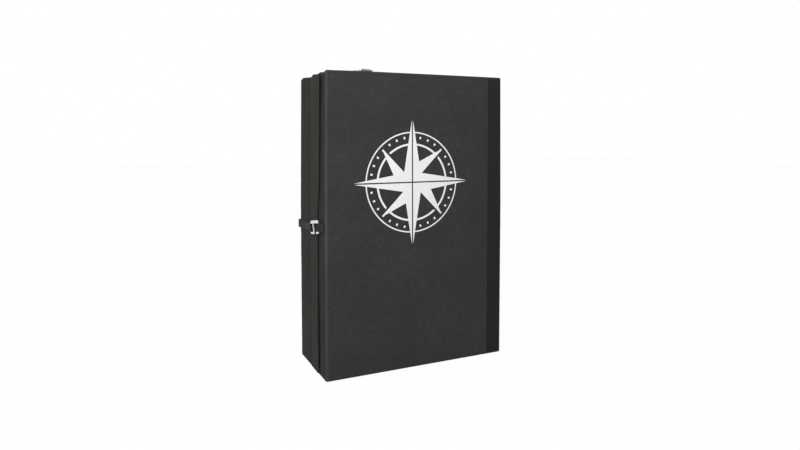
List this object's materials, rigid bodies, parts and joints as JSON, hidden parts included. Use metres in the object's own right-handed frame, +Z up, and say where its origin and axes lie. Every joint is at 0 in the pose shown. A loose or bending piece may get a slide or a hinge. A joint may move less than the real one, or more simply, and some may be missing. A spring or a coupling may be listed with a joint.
{
  "type": "bouldering crash pad",
  "caption": "Folding foam crash pad for bouldering, closed and standing, with hook closures, an opening flap, shoulder straps, waist belt and grab handle.",
  "frame": {"origin": "middle of the rear half's base, on the surface that the closed pad stands on", "axes": "+Z up along the pad's height, +X across its width towards the fold, +Y through its thickness towards the harness on its back"},
  "size_m": [0.636, 0.3249, 0.9312],
  "materials": {
    "cover_fabric": "coated heavy nylon, dark charcoal, soft satin",
    "landing_fabric": "plain weave nylon, matte",
    "closed_cell_foam": "closed-cell polyethylene foam, matte",
    "open_cell_foam": "open-cell polyurethane foam, matte",
    "webbing": "woven nylon webbing, slight sheen",
    "steel": "plated pressed steel, semi-bright",
    "loop_tape": "brushed loop tape, very matte",
    "zip_tape": "woven zip tape with a coil",
    "zip_metal": "dark cast slider",
    "strap_mesh": "padded nylon with a bound edge",
    "buckle_plastic": "moulded acetal, fine texture"
  },
  "bodies": {
    "rear_half": {"rear_cover": "cover_fabric", "rear_landing_panel": "landing_fabric", "rear_top_foam": "closed_cell_foam", "rear_core_foam": "open_cell_foam", "rear_base_foam": "closed_cell_foam", "rear_zip_tape": "zip_tape", "hinge_roll": "webbing", "hinge_leaf_rear": "webbing", "flap_sewn_edge": "cover_fabric", "side_strap_rear": "webbing", "top_strap_anchor": "webbing", "grab_handle": "webbing", "left_upper_anchor": "webbing", "right_upper_anchor": "webbing", "left_lower_anchor": "webbing", "right_lower_anchor": "webbing", "left_belt_anchor": "webbing", "right_belt_anchor": "webbing"},
    "front_half": {"front_cover": "cover_fabric", "front_landing_panel": "landing_fabric", "front_top_foam": "closed_cell_foam", "front_core_foam": "open_cell_foam", "front_base_foam": "closed_cell_foam", "front_zip_tape": "zip_tape", "hinge_leaf_front": "webbing", "linking_strip": "loop_tape", "side_loop": "webbing", "top_loop": "webbing"},
    "closure_flap": {"opening_flap": "cover_fabric", "side_strap_front": "webbing", "side_hook": "steel"},
    "top_strap": {"top_strap_web": "webbing", "top_hook": "steel"},
    "left_shoulder_strap": {"left_shoulder_link": "webbing", "left_shoulder_pad": "strap_mesh", "left_strap_adjuster": "buckle_plastic", "left_lower_webbing": "webbing"},
    "right_shoulder_strap": {"right_shoulder_link": "webbing", "right_shoulder_pad": "strap_mesh", "right_strap_adjuster": "buckle_plastic", "right_lower_webbing": "webbing"},
    "left_belt": {"left_belt_wing": "strap_mesh", "left_belt_webbing": "webbing", "left_belt_buckle": "buckle_plastic"},
    "right_belt": {"right_belt_wing": "strap_mesh", "right_belt_webbing": "webbing", "right_belt_buckle": "buckle_plastic"},
    "rear_slider": {"rear_zip_slider": "zip_metal"},
    "front_slider": {"front_zip_slider": "zip_metal"}
  },
  "joints": [
    {"name": "fold", "type": "hinge", "parent": "rear_half", "child": "front_half", "pos_m": [0.3105, -0.065, 0.457], "axis": [0, 0, 1], "range_deg": [0, 180], "deforming": ["side_loop", "top_loop"]},
    {"name": "flap_swing", "type": "hinge", "parent": "rear_half", "child": "closure_flap", "pos_m": [-0.3095, -0.065, 0.441], "axis": [0, 0, -1], "range_deg": [0, 120]},
    {"name": "top_strap_swing", "type": "hinge", "parent": "rear_half", "child": "top_strap", "pos_m": [-0.163, -0.065, 0.9185], "axis": [-1, 0, 0], "range_deg": [0, 140]},
    {"name": "left_shoulder_swing", "type": "hinge", "parent": "rear_half", "child": "left_shoulder_strap", "pos_m": [-0.1, 0.0715, 0.515], "axis": [0, 0, 1], "range_deg": [-20, 20]},
    {"name": "right_shoulder_swing", "type": "hinge", "parent": "rear_half", "child": "right_shoulder_strap", "pos_m": [0.1, 0.0715, 0.515], "axis": [0, 0, 1], "range_deg": [-20, 20]},
    {"name": "left_belt_swing", "type": "hinge", "parent": "rear_half", "child": "left_belt", "pos_m": [-0.075, 0.075, 0.205], "axis": [0, 0, -1], "range_deg": [0, 95]},
    {"name": "right_belt_swing", "type": "hinge", "parent": "rear_half", "child": "right_belt", "pos_m": [0.075, 0.075, 0.205], "axis": [0, 0, 1], "range_deg": [0, 95]},
    {"name": "rear_zip_slide", "type": "slide", "parent": "rear_half", "child": "rear_slider", "axis": [0, 0, 1], "range_m": [0, 0.82]},
    {"name": "front_zip_slide", "type": "slide", "parent": "front_half", "child": "front_slider", "axis": [0, 0, 1], "range_m": [0, 0.82]}
  ]
}
